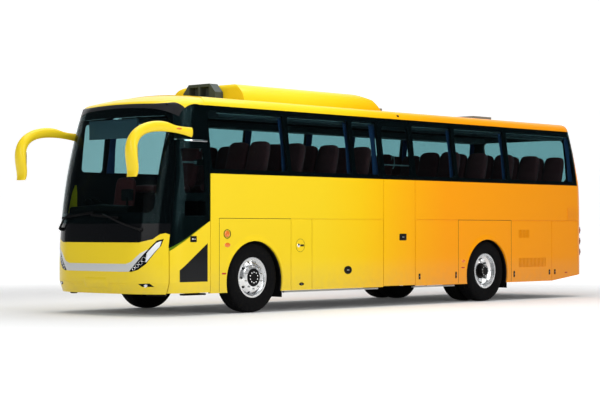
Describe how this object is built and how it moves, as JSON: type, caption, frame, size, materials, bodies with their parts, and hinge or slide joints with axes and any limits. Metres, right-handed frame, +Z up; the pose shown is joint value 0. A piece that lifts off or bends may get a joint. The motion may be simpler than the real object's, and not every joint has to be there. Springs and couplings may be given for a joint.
{
  "type": "electric coach",
  "caption": "Two-axle electric touring coach with hinged luggage doors, outward parallel-swing passenger doors, steered front wheels and twin rear wheels.",
  "frame": {"origin": "on the ground, under the middle of the overall length (mirrors included) and on the centre plane", "axes": "+X to the coach's own left (the door side), +Y to the rear, +Z up; the coach faces -Y"},
  "size_m": [2.6822, 11.2145, 3.462],
  "materials": {
    "yellow_paint": "gloss",
    "tinted_glass": "gloss",
    "clear_glass": "gloss",
    "black_gloss": "gloss",
    "lamp_glass": "gloss",
    "red_lamp": "gloss",
    "silver_paint": "satin",
    "chassis_black": "satin",
    "tyre": "matt",
    "polished_rim": "polished",
    "moulded_black": "matt",
    "floor_vinyl": "matt",
    "seat_cloth": "matt",
    "grey_plastic": "satin",
    "bare_steel": "satin"
  },
  "bodies": {
    "root": {"roof_shell": "yellow_paint", "front_frame": "black_gloss", "windscreen": "clear_glass", "front_mask": "black_gloss", "front_band": "silver_paint", "headlamps": "lamp_glass", "front_panel": "yellow_paint", "front_bumper": "yellow_paint", "front_corners": "yellow_paint", "side_wall_left": "yellow_paint", "side_wall_right": "yellow_paint", "side_glass_left": "tinted_glass", "side_glass_right": "tinted_glass", "arch_panels_left": "yellow_paint", "arch_panels_right": "yellow_paint", "rear_wall": "yellow_paint", "rear_window": "tinted_glass", "tail_lamps": "red_lamp", "rear_bumper": "yellow_paint", "steps": "floor_vinyl", "driver_platform": "floor_vinyl", "chassis_frame": "chassis_black", "floors": "floor_vinyl", "front_axle": "chassis_black", "rear_axle": "chassis_black", "battery_and_motor": "chassis_black", "air_springs": "moulded_black", "wheel_arch_liners": "moulded_black", "roof_fairing": "yellow_paint", "roof_unit": "grey_plastic", "mirrors": "yellow_paint", "passenger_seats": "seat_cloth", "dashboard": "moulded_black"},
    "front_wheel_left": {"front_rim_left": "polished_rim", "front_tyre_left": "tyre"},
    "front_wheel_right": {"front_rim_right": "polished_rim", "front_tyre_right": "tyre"},
    "rear_wheel_left": {"rear_rims_left": "polished_rim", "rear_tyres_left": "tyre"},
    "rear_wheel_right": {"rear_rims_right": "polished_rim", "rear_tyres_right": "tyre"},
    "steering_left": {"knuckle_left": "chassis_black"},
    "steering_right": {"knuckle_right": "chassis_black"},
    "entry_arm": {"entry_door_arm": "bare_steel"},
    "entry_door": {"entry_door_leaf": "yellow_paint", "entry_door_glass": "tinted_glass"},
    "middle_arm": {"middle_door_arm": "bare_steel"},
    "middle_door": {"middle_door_leaf": "yellow_paint", "middle_door_glass": "tinted_glass"},
    "rear_hatch": {"rear_hatch": "yellow_paint"},
    "roof_hatch_front": {"roof_hatch_front": "grey_plastic"},
    "roof_hatch_rear": {"roof_hatch_rear": "grey_plastic"},
    "charging_flap": {"charging_flap": "yellow_paint"},
    "luggage_door_left": {"luggage_door_left": "yellow_paint"},
    "bay_flap_left": {"bay_flap_left": "yellow_paint"},
    "louvre_flap_left": {"louvre_flap_left": "yellow_paint"},
    "rear_flap_left": {"rear_flap_left": "yellow_paint"},
    "luggage_door_right": {"luggage_door_right": "yellow_paint"},
    "bay_door_right": {"bay_door_right": "yellow_paint"},
    "service_flap_right": {"service_flap_right": "yellow_paint"}
  },
  "joints": [
    {"name": "steer_left", "type": "hinge", "parent": "root", "child": "steering_left", "pos_m": [0.97, -3.145, 0.522], "axis": [0, 0, 1], "range_deg": [-40, 40]},
    {"name": "steer_right", "type": "hinge", "parent": "root", "child": "steering_right", "pos_m": [-0.97, -3.145, 0.522], "axis": [0, 0, 1], "range_deg": [-40, 40]},
    {"name": "wheel_front_left", "type": "hinge", "parent": "steering_left", "child": "front_wheel_left", "pos_m": [1.1, -3.145, 0.522], "axis": [1, 0, 0], "continuous": true},
    {"name": "wheel_front_right", "type": "hinge", "parent": "steering_right", "child": "front_wheel_right", "pos_m": [-1.1, -3.145, 0.522], "axis": [1, 0, 0], "continuous": true},
    {"name": "wheel_rear_left", "type": "hinge", "parent": "root", "child": "rear_wheel_left", "pos_m": [1.1, 2.595, 0.522], "axis": [1, 0, 0], "continuous": true},
    {"name": "wheel_rear_right", "type": "hinge", "parent": "root", "child": "rear_wheel_right", "pos_m": [-1.1, 2.595, 0.522], "axis": [1, 0, 0], "continuous": true},
    {"name": "entry_door_post", "type": "hinge", "parent": "root", "child": "entry_arm", "pos_m": [1.05, -4.485, 1.4], "axis": [0, 0, -1], "range_deg": [0, 140]},
    {"name": "entry_door_leaf", "type": "hinge", "parent": "entry_arm", "child": "entry_door", "pos_m": [1.05, -4.145, 1.4], "axis": [0, 0, 1], "range_deg": [0, 140]},
    {"name": "middle_door_post", "type": "hinge", "parent": "root", "child": "middle_arm", "pos_m": [1.12, -0.095, 1.4], "axis": [0, 0, 1], "range_deg": [-140, 0]},
    {"name": "middle_door_leaf", "type": "hinge", "parent": "middle_arm", "child": "middle_door", "pos_m": [1.12, 0.245, 1.4], "axis": [0, 0, -1], "range_deg": [-140, 0]},
    {"name": "charging_flap", "type": "hinge", "parent": "root", "child": "charging_flap", "pos_m": [1.268, -2.1255, 1.395], "axis": [0, -1, 0], "range_deg": [0, 90]},
    {"name": "luggage_door_left", "type": "hinge", "parent": "root", "child": "luggage_door_left", "pos_m": [1.268, -1.0405, 1.395], "axis": [0, -1, 0], "range_deg": [0, 90]},
    {"name": "bay_flap_left", "type": "hinge", "parent": "root", "child": "bay_flap_left", "pos_m": [1.268, 1.202, 1.395], "axis": [0, -1, 0], "range_deg": [0, 90]},
    {"name": "louvre_flap_left", "type": "hinge", "parent": "root", "child": "louvre_flap_left", "pos_m": [1.268, 3.9165, 1.395], "axis": [0, -1, 0], "range_deg": [0, 90]},
    {"name": "rear_flap_left", "type": "hinge", "parent": "root", "child": "rear_flap_left", "pos_m": [1.268, 4.953, 1.395], "axis": [0, -1, 0], "range_deg": [0, 90]},
    {"name": "luggage_door_right", "type": "hinge", "parent": "root", "child": "luggage_door_right", "pos_m": [-1.268, -1.276, 1.395], "axis": [0, 1, 0], "range_deg": [0, 90]},
    {"name": "bay_door_right", "type": "hinge", "parent": "root", "child": "bay_door_right", "pos_m": [-1.268, 0.7945, 1.395], "axis": [0, 1, 0], "range_deg": [0, 90]},
    {"name": "service_flap_right", "type": "hinge", "parent": "root", "child": "service_flap_right", "pos_m": [-1.268, 4.3335, 1.395], "axis": [0, 1, 0], "range_deg": [0, 90]},
    {"name": "rear_hatch", "type": "hinge", "parent": "root", "child": "rear_hatch", "pos_m": [0, 5.598, 1.48], "axis": [1, 0, 0], "range_deg": [0, 85]},
    {"name": "roof_hatch_front", "type": "hinge", "parent": "root", "child": "roof_hatch_front", "pos_m": [0, 0.413, 3.2353], "axis": [1, 0, 0], "range_deg": [0, 35]},
    {"name": "roof_hatch_rear", "type": "hinge", "parent": "root", "child": "roof_hatch_rear", "pos_m": [0, 3.513, 3.2353], "axis": [1, 0, 0], "range_deg": [0, 35]}
  ],
  "couplings": [
    {"joint": "steer_right", "follows": "steer_left", "ratio": 1},
    {"joint": "entry_door_leaf", "follows": "entry_door_post", "ratio": 1},
    {"joint": "middle_door_leaf", "follows": "middle_door_post", "ratio": 1}
  ]
}
